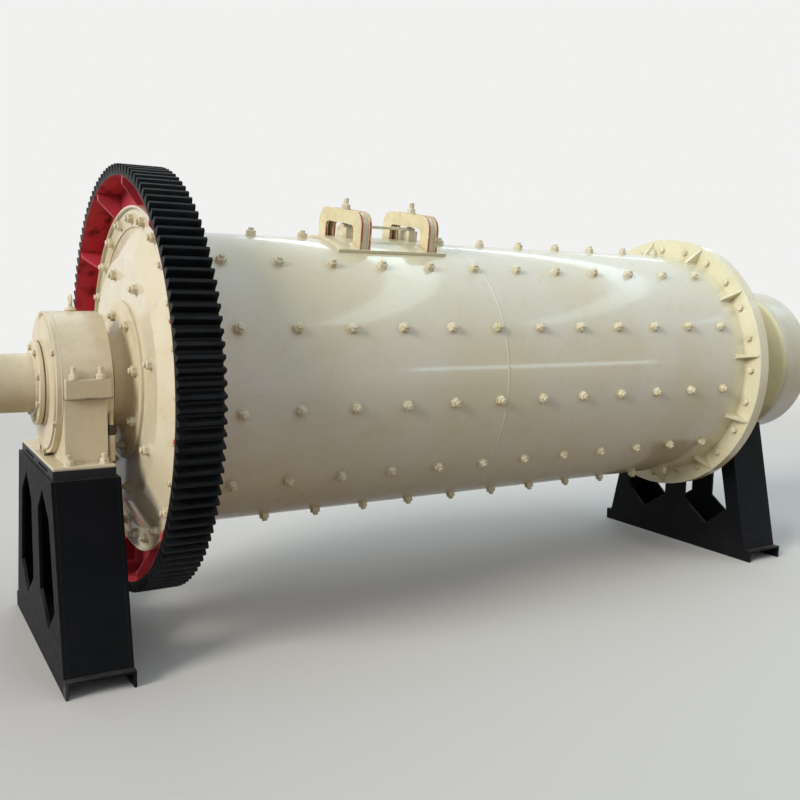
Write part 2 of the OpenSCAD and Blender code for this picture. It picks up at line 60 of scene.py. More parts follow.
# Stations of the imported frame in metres, read from its own nodes.
SHELL_LOW, SHELL_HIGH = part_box("shell")
AXIS_Z = (SHELL_LOW.z + SHELL_HIGH.z) / 2
SHELL_MIDDLE = (SHELL_LOW.x + SHELL_HIGH.x) / 2
SHELL_HALF = (SHELL_HIGH.x - SHELL_LOW.x) / 2
NEAR_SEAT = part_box("gear_web")[0].x
FAR_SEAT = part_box("far_head")[0].x
HEAD_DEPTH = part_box("far_head")[1].x - FAR_SEAT
PARTING_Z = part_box("near_bearing_cap")[0].z
SOLE_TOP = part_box("near_sole_plate")[1].z
RIM_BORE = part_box("gear_web")[1].y
CHANNEL_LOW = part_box("near_base_channel")[0]
DRUM_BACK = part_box("discharge_drum")[0].x

# The two ends of the mill: name, station of the head's seat and the way that points out of the drum.
ENDS = (("near", NEAR_SEAT, -1.0), ("far", FAR_SEAT, 1.0))


def linear(code):
    """The linear colour of an sRGB hex code: low values are divided by 12.92, the others follow the 2.4 power."""
    value = np.array([int(code[i : i + 2], 16) for i in (1, 3, 5)]) / 255.0
    low, high = value / 12.92, ((value + 0.055) / 1.055) ** 2.4
    return tuple(float(v) for v in np.where(value <= 0.04045, low, high))


def length(name, description, default):
    """A size in metres that the panel shows."""
    limits = {"default": default, "min": 0.0}
    return FloatProperty(name=name, description=description, unit="LENGTH", subtype="DISTANCE", **limits)


def angle(name, description, degrees):
    """An angle that the panel shows in degrees."""
    start = math.radians(degrees)
    return FloatProperty(name=name, description=description, default=start, unit="ROTATION", subtype="ANGLE")


def colour(name, description, code):
    """A paint colour that the panel shows as a swatch."""
    limits = {"default": linear(code), "min": 0.0, "max": 1.0}
    return FloatVectorProperty(name=name, description=description, size=3, subtype="COLOR", **limits)


class MillLinerSizes(bpy.types.PropertyGroup):
    """The bolts that hold the liner plates inside the shell."""

    rings: IntProperty(name="Rings", description="Rings of liner bolts along the shell", default=12, min=1)
    rows: IntProperty(name="Rows", description="Rows of liner bolts round the shell", default=12, min=1)
    pitch: length("Ring pitch", "Distance between two rings of liner bolts", 0.238)
    first: length("First ring", "Distance of the first ring from the near seat", 0.215)
    top_row: angle("Top row", "Angle of the topmost row over the horizontal on the front", 82.5)
    shell_radius: length("Shell radius", "Outside radius of the shell plate", 0.612)
    across: length("Nut", "Width of the nut across its flats", 0.037)
    stud: length("Stud", "Diameter of the stud", 0.024)
    washer: length("Washer", "Diameter of the sealing washer", 0.048)


class MillFlangeSizes(bpy.types.PropertyGroup):
    """The bolts that join the shell flanges to the heads."""

    count: IntProperty(name="Count", description="Bolts round each flange", default=24, min=1)
    far_circle: length("Far circle", "Radius of the far flange's bolt circle", 0.648)
    near_circle: length("Near circle", "Radius of the near flange's bolt circle", 0.652)
    far_phase: angle("Far phase", "Angle of the far flange's first bolt over the horizontal", 1.0)
    near_phase: angle("Near phase", "Angle of the near flange's first bolt over the horizontal", 0.0)
    across: length("Nut", "Width of the nut across its flats", 0.036)
    head: length("Head", "Width of the bolt's head across its flats", 0.031)
    stud: length("Bolt", "Diameter of the bolt", 0.024)
    bolting_ring: length("Bolting ring", "Height of the head's bolting ring over its seat", 0.024)
    plate: length("Flange plate", "Thickness of the shell's flange", 0.025)


class MillHeadSizes(bpy.types.PropertyGroup):
    """The bolts of the trunnions and of the head liners."""

    count: IntProperty(name="Count", description="Bolts in each ring on a head", default=8, min=1)
    outer_circle: length("Outer circle", "Radius of the outer ring", 0.436)
    inner_circle: length("Inner circle", "Radius of the inner ring, on the trunnion foot", 0.265)
    phase: angle("Phase", "Angle of the first bolt over the horizontal", 13.0)
    across: length("Nut", "Width of the nut across its flats", 0.036)
    stud: length("Stud", "Diameter of the stud", 0.024)
    foot: length("Trunnion foot", "Thickness of the trunnion's foot flange", 0.012)


class MillBearingSizes(bpy.types.PropertyGroup):
    """The fasteners and fittings of the two bearings."""

    cap_stud: length("Cap stud", "Diameter of the studs through the cap lugs", 0.021)
    cap_middle: length("Cap middle", "Distance of the cap studs' middle from the head's seat", 0.273)
    cap_spread: length("Cap spread", "Half the distance between the two studs of a lug", 0.049)
    cap_side: length("Cap side", "Distance of the cap studs from the axis", 0.290)
    lug: length("Lug height", "Height of the cap lug over the parting", 0.073)
    foot_bolt: length("Foot bolt", "Diameter of the foot bolts", 0.022)
    foot_middle: length("Foot middle", "Distance of the foot bolts' middle from the head's seat", 0.284)
    foot_spread: length("Foot spread", "Half the distance between the two foot bolts of a side", 0.065)
    foot_side: length("Foot side", "Distance of the foot bolts from the axis", 0.304)
    cover_circle: length("Cover circle", "Radius of the outer cover's bolt circle", 0.264)
    cover_station: length("Cover station", "Distance of the outer cover's flange face from the head's seat", 0.3785)
    ring_circle: length("End ring circle", "Radius of the end ring's bolt circle", 0.141)
    ring_station: length("End ring station", "Distance of the end ring's face from the head's seat", 0.4175)
    eye: length("Lifting eye", "Middle radius of the lifting eye", 0.0165)
    eye_station: length("Eye station", "Distance of the lifting eye from the head's seat", 0.272)
    joint_circle: length("Joint circle", "Radius of the joint between outer cover and housing", 0.2785)
    joint_station: length("Joint station", "Distance of that joint from the head's seat", 0.359)
    felt_circle: length("Felt circle", "Middle radius of the felt ring", 0.160)
    felt_station: length("Felt station", "Distance of the felt ring from the head's seat", 0.3985)
    screw: length("Screw", "Diameter of the cover and end ring screws", 0.014)
    screw_across: length("Screw head", "Width of a screw's head across its flats", 0.022)
    screw_washer: length("Screw washer", "Diameter of a screw's washer", 0.024)
    end_nut_side: length("End nut side", "Distance from the axis of the fifth foot nut, under the cover", 0.095)
    foot_plate: length("Foot plate", "Thickness of the housing's foot plate", 0.010)
    drain_station: length("Drain station", "Distance of the drain from the head's seat", 0.183)
    drain_side: length("Drain side", "Distance of the drain from the axis", 0.262)
    drain_pipe: length("Drain pipe", "Height of the drain pipe over the foot plate", 0.100)
    drain_union: length("Drain union", "Height of the drain's hexagon union", 0.037)
    drain_radius: length("Drain radius", "Radius of the drain pipe", 0.014)
    nipple_radius: length("Nipple radius", "Radius of the nipple over the union", 0.009)
    union_across: length("Union", "Width of the union across its flats", 0.034)
    union_bevel: length("Union bevel", "Bevel of the union's two ends", 0.003)
    plug_station: length("Plug station", "Distance of the foot's plug from the head's seat", 0.381)
    plug_side: length("Plug side", "Distance of the foot's plug from the axis", 0.055)
    plug_radius: length("Plug radius", "Radius of the foot's plug", 0.012)


class MillManholeSizes(bpy.types.PropertyGroup):
    """The studs of the manhole's two clamping bows."""

    angle: angle("Manhole angle", "Angle of the manhole over the horizontal on the front", 82.5)
    centre: length("Manhole centre", "Distance of the manhole's centre from the near seat", 1.065)
    bow_shift: length("Bow shift", "Distance of each bow's middle from the manhole's centre", 0.1705)
    plate_shift: length("Plate shift", "Distance of a bow plate's middle from the bow's middle", 0.020)
    bow_top: length("Bow top", "Radius of the bow's top edge round the drum's axis", 0.748)
    stud: length("Stud", "Diameter of the clamping studs", 0.024)
    shank: length("Shank", "Length of the clamping studs under the bow's top edge", 0.075)


class MillWeldSizes(bpy.types.PropertyGroup):
    """The gussets and sole plates that are welded on."""

    gussets: IntProperty(name="Gussets", description="Gussets behind each shell flange", default=12, min=1)
    gusset_length: length("Gusset length", "Length of a gusset along the shell", 0.085)
    gusset_plate: length("Gusset plate", "Thickness of a gusset", 0.014)
    sole_gap: length("Sole gap", "Gap between a sole plate's end and its pedestal's side plate", 0.010)


class MillPaint(bpy.types.PropertyGroup):
    """The colours of the paint."""

    cream: colour("Cream", "Gloss enamel of the shell and its flanges", "#D9D5C4")
    casting: colour("Casting cream", "Enamel of the castings", "#E3D8BB")
    fastener: colour("Fastener cream", "Enamel over nuts and bolts", "#E3DCC4")
    black: colour("Black", "Paint of the pedestals", "#04070B")
    gear: colour("Gear black", "Paint of the teeth", "#07090C")
    # The red is lighter and paler than the primer itself: painted fill light for the shaded hollow inside the rim, and
    # a painted sky reflection.
    red: colour("Red", "Primer inside the gear", "#CC4553")


def joined(*shapes):
    """One shape from several, each (points, corners, face sizes): the points stand in a row, and each shape's corner
    numbers rise by the points before it."""
    starts = np.cumsum([0] + [len(points) for points, _, _ in shapes[:-1]])
    return (
        np.concatenate([points for points, _, _ in shapes]),
        np.concatenate([corners + start for (_, corners, _), start in zip(shapes, starts)]),
        np.concatenate([sizes for _, _, sizes in shapes]),
    )


def circle(count):
    """Equal steps round a full circle in radians: step k is 2 pi k over the count."""
    return 2 * np.pi * np.arange(count) / count


def stacked(x, y, z):
    """Points from their coordinates, where a single number serves all points."""
    return np.stack(np.broadcast_arrays(x, y, z), -1)


def skin(rings, sides, closed=False):
    """Corners and sizes of the faces over rings of points: quads join each ring to the next, and a flat face ends the
    first and the last ring. A closed row of rings has quads from its last ring to its first in their place."""
    here, step = np.arange(rings if closed else rings - 1)[:, None], np.arange(sides)
    here, following, after = here * sides, (here + 1) % rings * sides, (step + 1) % sides
    walls = np.stack([here + step, here + after, following + after, following + step], -1)
    ends = [] if closed else [step[::-1], (rings - 1) * sides + step]
    sizes = np.concatenate([np.full(walls.size // 4, 4), np.full(len(ends), sides)])
    return np.concatenate([walls.reshape(-1), *ends]), sizes


def turned(profile, sides):
    """A turned or hexagonal solid: each (radius, height) of the profile is carried in equal steps round the local z
    axis, and a flat face closes each end. More than six sides look round, and six give a nut."""
    radius, height = np.asarray(profile, float).T[..., None]
    turn = circle(sides)
    points = stacked(radius * np.cos(turn), radius * np.sin(turn), height)
    return points.reshape(-1, 3), *skin(len(radius), sides)


def grid_tube(centres, across, up, radius_across, radius_up, sides, closed):
    """A tube along a path: at each centre an ellipse is drawn, with cos of the turn along the vector across and sin of
    it along up. A closed path joins its last ring to its first, and an open one is closed by flat ends."""
    turn = circle(sides)
    wide = (radius_across * across)[:, None, :] * np.cos(turn)[None, :, None]
    tall = (radius_up * up)[:, None, :] * np.sin(turn)[None, :, None]
    return (centres[:, None, :] + wide + tall).reshape(-1, 3), *skin(len(centres), sides, closed)


def places(origins, outward, along, turns=0.0):
    """A 4 by 4 place for each origin: local z points outward, and local x is along, turned about outward by turns."""
    rows = (np.atleast_2d(np.asarray(v, float)) for v in (origins, outward, along))
    origins, outward, along = np.broadcast_arrays(*rows)
    third = np.cross(outward, along)
    turns = np.broadcast_to(turns, len(origins))[:, None]
    x = np.cos(turns) * along + np.sin(turns) * third
    made = np.tile(np.eye(4), (len(origins), 1, 1))
    made[:, :3, 0], made[:, :3, 1], made[:, :3, 2], made[:, :3, 3] = x, np.cross(outward, x), outward, origins
    return made


def repeated(shape, made):
    """A copy of the shape at each place: every point is turned and moved by the place's matrix."""
    points, corners, sizes = shape
    moved = np.einsum("nij,pj->npi", made[:, :3, :3], points) + made[:, None, :3, 3]
    shift = np.arange(len(made))[:, None] * len(points)
    return moved.reshape(-1, 3), (corners[None] + shift).reshape(-1), np.tile(sizes, len(made))


def round_drum(station, radius, turns):
    """Points on a circle round the drum's axis: y is minus radius times cos of the turn, and z is the axis height plus
    radius times sin of it. Returns the points and the outward directions."""
    out = stacked(0.0, -np.cos(turns), np.sin(turns))
    return out * radius + stacked(station, 0.0, AXIS_Z), out


def ring_on_face(shape, station, side, radius, turns, spins):
    """Copies of the shape in a circle on a face across the drum's axis: each points along the axis to the side, with
    its local x outward from the axis and turned by its spin."""
    origins, out = round_drum(station, radius, turns)
    return repeated(shape, places(origins, side * AHEAD, out, spins))


def linked(name, data, place=Matrix.Identity(4)):
    """A new object in the scene, at its place."""
    piece = bpy.data.objects.new(name, data)
    piece.matrix_world = place
    bpy.context.scene.collection.objects.link(piece)
    return piece


def placed(name, shape, material, smooth=False):
    """An object in the scene whose mesh is the shape, in one material."""
    points, corners, sizes = shape
    mesh = bpy.data.meshes.new(name)
    mesh.vertices.add(len(points))
    mesh.vertices.foreach_set("co", np.asarray(points, np.float32).reshape(-1))
    mesh.loops.add(len(corners))
    mesh.loops.foreach_set("vertex_index", corners.astype(np.int32))
    mesh.polygons.add(len(sizes))
    mesh.polygons.foreach_set("loop_start", (np.cumsum(sizes) - sizes).astype(np.int32))
    mesh.polygons.foreach_set("use_smooth", np.full(len(sizes), smooth))
    mesh.update(calc_edges=True)
    if mesh.validate():
        raise ValueError(f"{name}: the mesh had faults")
    mesh.materials.append(material)
    return linked(name, mesh)


def show(name, shape, body, coating="enamel_on_fasteners", smooth=False):
    """Puts a piece into the scene in the finish of that name, and lets it ride on its body."""
    piece = placed(name, shape, finish(coating), smooth)
    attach(piece, body)


def corner_radius(across):
    """The radius over a hexagon's corners: half its width across flats over the cosine of 30 degrees."""
    return across / 2 / math.cos(math.pi / 6)


def bolt_head(across, bolt, washer, high=0.7):
    """A washer and a chamfered hexagon on it. Heights follow the bolt's diameter: the washer takes an eighth of it, and
    the hexagon the share that high gives."""
    flat, top = bolt / 8, bolt / 8 + high * bolt
    corner, bevel = corner_radius(across), 0.08 * bolt
    return joined(
        turned([(washer / 2, 0.0), (washer / 2, flat - bevel / 2), (washer / 2 - bevel, flat)], 14),
        turned([(corner, flat), (corner, top - bevel), (corner - 2 * bevel, top)], 6),
    )


def nut_on_stud(across, stud, washer, stand=0.45):
    """A washer, a nut eight tenths of the stud's diameter high, and the stud's bevelled end, which stands out of the
    nut by the share of its diameter that stand gives."""
    high, bevel = 0.8, 0.08 * stud
    nut = stud / 8 + high * stud
    tip = nut + stand * stud
    end = turned([(stud / 2, nut - bevel), (stud / 2, tip - bevel), (stud / 2 - bevel, tip)], 10)
    return joined(bolt_head(across, stud, washer, high), end)


def weld(centres, across, up, width, height, ripple, closed=True):
    """A weld bead: a flattened tube along the path, whose section swells and shrinks by an eighth with the sine of two
    pi times the path's length over the ripple, as overlapping weld puddles do. The path runs down its middle, so the
    width is the whole measure across and the height is half the measure along up."""
    steps = np.linalg.norm(np.diff(centres, axis=0), axis=1)
    run = np.concatenate([[0.0], np.cumsum(steps)])
    swell = (1 + np.sin(2 * np.pi * run / ripple) / 8)[:, None]
    return grid_tube(centres, across, up, width / 2 * swell, height * swell, 8, closed)


def round_bead(station, radius, steps, deep, half_wide, ripple):
    """A weld bead round the drum's axis, with a depth from inside to outside and half its width along the axis."""
    centres, out = round_drum(station, radius, circle(steps))
    return weld(centres, out, AHEAD, deep, half_wide, ripple)


# Sockets by number: MapRange has its value at 0, the range that comes in at 1 and 2 and the range that goes out at 3
# and 4. Mix has its share at 0 and two colours at 6 and 7, and gives their mixture at its output 2.
def add(tree, kind, inputs=None, **settings):
    """Adds a node: settings are its own properties, and inputs are its sockets by name or number, each a value, an
    output of another node or the node itself for its first output."""
    node = tree.nodes.new("ShaderNode" + kind)
    for key, value in settings.items():
        setattr(node, key, value)
    for key, value in (inputs or {}).items():
        if isinstance(value, bpy.types.Node):
            value = value.outputs[0]
        if isinstance(value, bpy.types.NodeSocket):
            tree.links.new(value, node.inputs[key])
        else:
            node.inputs[key].default_value = value
    return node


def rgba(values):
    """A colour socket's four numbers."""
    return (*values[:3], 1.0)


def bare_tree(owner):
    """The emptied node tree of a new material or world."""
    owner.use_nodes = True
    owner.node_tree.nodes.clear()
    return owner.node_tree


def seen(tree):
    """One where a ray comes from the camera, a mirror or a clear piece, and zero where it only carries light."""
    ray = add(tree, "LightPath").outputs
    either = add(tree, "Math", {0: ray["Is Camera Ray"], 1: ray["Is Glossy Ray"]}, operation="MAXIMUM")
    return add(tree, "Math", {0: either, 1: ray["Is Transmission Ray"]}, operation="MAXIMUM")


def gap(tree, value, middle):
    """How far a coordinate lies from a middle value, on either side of it."""
    value = add(tree, "Math", {0: value, 1: middle}, operation="SUBTRACT")
    return add(tree, "Math", {0: value}, operation="ABSOLUTE")


def coat(name, paint, second, grime_and_shade, wear_and_highlight, sheen, waves, grain, masks=()):
    """A painted steel finish. Broad noise drifts from the paint to the second tone, occlusion darkens corners as
    painted shade and finer noise adds specks of grime, a bevelled normal finds edges that are lightened as wear and
    as a painted highlight, and two noises give waves and grain in the bump. Sheen is (roughness, weight of the clear
    top coat, mirroring under it), each of waves and grain is (size, depth) in metres, and each mask is a function
    that gives a share and the colour to mix in by it."""
    made = bpy.data.materials.new(name)
    tree = bare_tree(made)
    second_tone, patch = second
    dirt_and_shade_tone, speck_size, dirt_and_shade_strength, reach = grime_and_shade
    wear_and_highlight_tone, lighter_share, edge_size = wear_and_highlight
    rough, gloss, mirror = sheen
    wave, wave_depth = waves
    pebble, pebble_depth = grain
    first = linear(paint) if paint.startswith("#") else getattr(bpy.context.scene.mill_paint, paint)
    spot = add(tree, "TexCoord").outputs["Object"]
    broad = add(tree, "TexNoise", {"Vector": spot, "Scale": 1 / patch, "Detail": 4.0, "Roughness": 0.55})
    drift = add(tree, "MapRange", {0: broad, 1: 0.35, 2: 0.68}, interpolation_type="SMOOTHSTEP")
    shade = add(tree, "Mix", {0: drift, 6: rgba(first), 7: rgba(linear(second_tone))}, data_type="RGBA").outputs[2]
    for mask in masks:
        share, tone = mask(tree, spot)
        shade = add(tree, "Mix", {0: share, 6: shade, 7: rgba(tone)}, data_type="RGBA").outputs[2]
    # Painted shade: the colour darkens where little open air reaches the surface, as shade in corners, and a speckle
    # of grime adds to it.
    speck = add(tree, "TexNoise", {"Vector": spot, "Scale": 1 / speck_size, "Detail": 8.0, "Roughness": 0.7})
    open_air = add(tree, "AmbientOcclusion", {"Distance": reach}, samples=4)
    # Painted shade in corners and hollows: the less open air, the darker.
    closed = add(tree, "MapRange", {0: open_air.outputs["AO"], 1: 0.85, 2: 0.25, 3: 0.0, 4: 0.55})
    blotch = add(tree, "MapRange", {0: speck, 1: 0.52, 2: 0.78, 3: 0.0, 4: 0.35})
    dirt_and_shade = add(tree, "Math", {0: closed, 1: blotch}, operation="ADD", use_clamp=True)
    dirt_and_shade = add(tree, "Math", {0: dirt_and_shade, 1: dirt_and_shade_strength}, operation="MULTIPLY", use_clamp=True)
    shade = add(tree, "Mix", {0: dirt_and_shade, 6: shade, 7: rgba(linear(dirt_and_shade_tone))}, data_type="RGBA").outputs[2]
    # Edges are lightened as wear and as a painted highlight: the bevelled normal leans away from the true one near an
    # edge.
    soft = add(tree, "Bevel", {"Radius": edge_size}, samples=4)
    true = add(tree, "NewGeometry").outputs["Normal"]
    lean = add(tree, "VectorMath", {0: soft, 1: true}, operation="DOT_PRODUCT")
    edge = add(tree, "MapRange", {0: lean.outputs["Value"], 1: 0.985, 2: 0.86, 3: 0.0, 4: lighter_share})
    shade = add(tree, "Mix", {0: edge, 6: shade, 7: rgba(linear(wear_and_highlight_tone))}, data_type="RGBA").outputs[2]
    dulled = add(tree, "MapRange", {0: speck, 1: 0.3, 2: 0.7, 3: rough - 0.06, 4: rough + 0.12})
    swell = add(tree, "TexNoise", {"Vector": spot, "Scale": 1 / wave, "Detail": 1.0})
    pores = add(tree, "TexNoise", {"Vector": spot, "Scale": 1 / pebble, "Detail": 3.0})
    rise = add(tree, "Bump", {"Height": swell, "Distance": wave_depth, "Strength": 1.0, "Normal": soft})
    rise = add(tree, "Bump", {"Height": pores, "Distance": pebble_depth, "Strength": 1.0, "Normal": rise})
    look = {"Base Color": shade, "Roughness": dulled, "Normal": rise, "IOR": 1.5, "Specular IOR Level": mirror}
    look |= {"Coat Weight": gloss, "Coat Roughness": 0.085}
    add(tree, "OutputMaterial", {"Surface": add(tree, "BsdfPrincipled", look)})
    return made


def darker_rings_round_bolts(tree, spot):
    """Darkens a soft spot round each liner bolt. The distance is taken in a cell one ring pitch long and one row wide,
    so the same spot repeats along and round the shell."""
    liner = bpy.context.scene.mill_liner
    place = add(tree, "SeparateXYZ", {0: spot}).outputs
    rise = add(tree, "Math", {0: place[2], 1: AXIS_Z}, operation="SUBTRACT")
    front = add(tree, "Math", {0: place[1], 1: -1.0}, operation="MULTIPLY")
    turn = add(tree, "Math", {0: rise, 1: front}, operation="ARCTAN2")
    row = 2 * math.pi / liner.rows
    along = add(tree, "Math", {0: place[0], 1: NEAR_SEAT + liner.first}, operation="SUBTRACT")
    along = add(tree, "Math", {0: along, 1: liner.pitch / 2}, operation="PINGPONG")
    # PINGPONG runs up and down once in two half pitches, so it is zero at each ring and largest half way.
    around = add(tree, "Math", {0: turn, 1: liner.top_row}, operation="SUBTRACT")
    around = add(tree, "Math", {0: around, 1: row / 2}, operation="PINGPONG")
    around = add(tree, "Math", {0: around, 1: liner.shell_radius}, operation="MULTIPLY")
    away = add(tree, "CombineXYZ", {0: along, 1: around})
    away = add(tree, "VectorMath", {0: away}, operation="LENGTH")
    limits = {0: away.outputs["Value"], 1: 0.048, 2: 0.024, 3: 0.0, 4: 0.16}
    stain = add(tree, "MapRange", limits, interpolation_type="SMOOTHSTEP")
    return stain, linear("#A79B78")


def brushed_ends(tree, spot):
    """A yellower brushed coat on the shell's flanges and on a hand's breadth of plate beside them, with a wavering
    limit: it begins where the distance from the shell's middle comes near half the shell's length."""
    along = add(tree, "SeparateXYZ", {0: spot}).outputs[0]
    along = gap(tree, along, SHELL_MIDDLE)
    brush = add(tree, "TexNoise", {"Vector": spot, "Scale": 7.0, "Detail": 4.0})
    waver = add(tree, "MapRange", {0: brush, 3: -0.05, 4: 0.05})
    along = add(tree, "Math", {0: along, 1: waver}, operation="ADD")
    limits = {0: along, 1: SHELL_HALF - 0.14, 2: SHELL_HALF - 0.05, 3: 0.0, 4: 0.7}
    near = add(tree, "MapRange", limits, interpolation_type="SMOOTHSTEP")
    return near, linear("#E2E0BE")


def seam(tree, spot):
    """Oil-darkened dirt in the parting line of a split housing, in broken lengths a few millimetres high."""
    height = add(tree, "SeparateXYZ", {0: spot}).outputs[2]
    away = gap(tree, height, PARTING_Z)
    line = add(tree, "MapRange", {0: away, 1: 6.0 * MM, 2: 3.0 * MM})
    gaps = add(tree, "TexNoise", {"Vector": spot, "Scale": 16.0, "Detail": 2.0})
    gaps = add(tree, "MapRange", {0: gaps, 1: 0.38, 2: 0.52, 3: 0.15, 4: 0.85})
    both = add(tree, "Math", {0: line, 1: gaps}, operation="MULTIPLY")
    return both, linear("#3B3122")


def red_bore(tree, spot):
    """Primer red inside the radius where the black of the teeth was masked off, with a hand-brushed wavering line."""
    place = add(tree, "VectorMath", {0: spot, 1: (0.0, 0.0, AXIS_Z)}, operation="SUBTRACT")
    place = add(tree, "VectorMath", {0: place, 1: (0.0, 1.0, 1.0)}, operation="MULTIPLY")
    radius = add(tree, "VectorMath", {0: place}, operation="LENGTH")
    brush = add(tree, "TexNoise", {"Vector": spot, "Scale": 18.0, "Detail": 2.0})
    waver = add(tree, "MapRange", {0: brush, 3: -0.003, 4: 0.003})
    radius = add(tree, "Math", {0: radius.outputs["Value"], 1: waver}, operation="ADD")
    inside = add(tree, "MapRange", {0: radius, 1: RIM_BORE + 2 * MM, 2: RIM_BORE})
    # The red carries painted fill light and a painted sky reflection.
    return inside, bpy.context.scene.mill_paint.red


def primed_edges(tree, spot):
    """A line of red primer along the middle of each bow plate's cut edge. The station is folded about the manhole's
    centre, then about the bow's middle and last about the plate's, so one line serves all four plates."""
    manhole = bpy.context.scene.mill_manhole
    away = add(tree, "SeparateXYZ", {0: spot}).outputs[0]
    for middle in (NEAR_SEAT + manhole.centre, manhole.bow_shift, manhole.plate_shift):
        away = gap(tree, away, middle)
    line = add(tree, "MapRange", {0: away, 1: 5.0 * MM, 2: 3.5 * MM})
    over = add(tree, "TexNoise", {"Vector": spot, "Scale": 22.0, "Detail": 3.0})
    over = add(tree, "MapRange", {0: over, 1: 0.66, 2: 0.56, 3: 0.2, 4: 1.0})
    both = add(tree, "Math", {0: line, 1: over}, operation="MULTIPLY")
    return both, linear("#A8353A")


def settled_dust(tree, spot):
    """Shop-floor dust: thick on ledges that face up, and thinning up the plates from the floor."""
    normal = add(tree, "NewGeometry").outputs["True Normal"]
    upward = add(tree, "SeparateXYZ", {0: normal}).outputs[2]
    ledge = add(tree, "MapRange", {0: upward, 1: 0.5, 2: 0.9, 3: 0.0, 4: 0.35})
    height = add(tree, "SeparateXYZ", {0: spot}).outputs[2]
    low = add(tree, "MapRange", {0: height, 1: 0.45, 2: 0.0, 3: 0.0, 4: 0.05})
    cloud = add(tree, "TexNoise", {"Vector": spot, "Scale": 9.0, "Detail": 6.0, "Roughness": 0.65})
    cloud = add(tree, "MapRange", {0: cloud, 1: 0.35, 2: 0.7, 3: 0.25, 4: 1.0})
    both = add(tree, "Math", {0: ledge, 1: low}, operation="ADD")
    both = add(tree, "Math", {0: both, 1: cloud}, operation="MULTIPLY", use_clamp=True)
    return both, linear("#6F6E6C")


def painted_light_on_drum_back(tree, spot):
    """Painted light and a painted reflection of the yellow flange: the face of the discharge drum that looks at the
    mill, which lies in the flange's shadow, is paler and yellower up to its rounded corner.
    """
    along = add(tree, "SeparateXYZ", {0: spot}).outputs[0]
    along = add(tree, "Math", {0: along, 1: DRUM_BACK}, operation="SUBTRACT")
    back = add(tree, "MapRange", {0: along, 1: 14.0 * MM, 2: 6.0 * MM, 3: 0.0, 4: 0.9})
    return back, linear("#F4EBC2")


def lighter_corner_patch(tree, spot):
    """A corner of the near base channel painted a lighter grey, within a ragged flat ellipsoid."""
    corner, reach = (CHANNEL_LOW.x, CHANNEL_LOW.y, 0.02), (0.10, 0.05, 0.045)
    away = add(tree, "VectorMath", {0: spot, 1: corner}, operation="SUBTRACT")
    away = add(tree, "VectorMath", {0: away, 1: reach}, operation="DIVIDE")
    away = add(tree, "VectorMath", {0: away}, operation="LENGTH")
    ragged = add(tree, "TexNoise", {"Vector": spot, "Scale": 40.0, "Detail": 5.0})
    ragged = add(tree, "MapRange", {0: ragged, 1: 0.3, 2: 0.7, 3: -0.3, 4: 0.3})
    away = add(tree, "Math", {0: away.outputs["Value"], 1: ragged}, operation="ADD")
    lighter_share = add(tree, "MapRange", {0: away, 1: 1.0, 2: 0.8, 3: 0.0, 4: 0.8})
    return lighter_share, linear("#484A4E")


def tarnished_steel():
    """Bare rolled steel with dark oxide, as on unpainted unions: a metal, dull and brownish black."""
    made = bpy.data.materials.new("tarnished_steel")
    tree = bare_tree(made)
    spot = add(tree, "TexCoord").outputs["Object"]
    cloud = add(tree, "TexNoise", {"Vector": spot, "Scale": 60.0, "Detail": 5.0})
    oxide, steel = rgba(linear("#3A342C")), rgba(linear("#5E564A"))
    shade = add(tree, "Mix", {0: cloud, 6: oxide, 7: steel}, data_type="RGBA").outputs[2]
    rough = add(tree, "MapRange", {0: cloud, 3: 0.38, 4: 0.65})
    surface = add(tree, "BsdfPrincipled", {"Base Color": shade, "Metallic": 0.85, "Roughness": rough})
    add(tree, "OutputMaterial", {"Surface": surface})
    return made
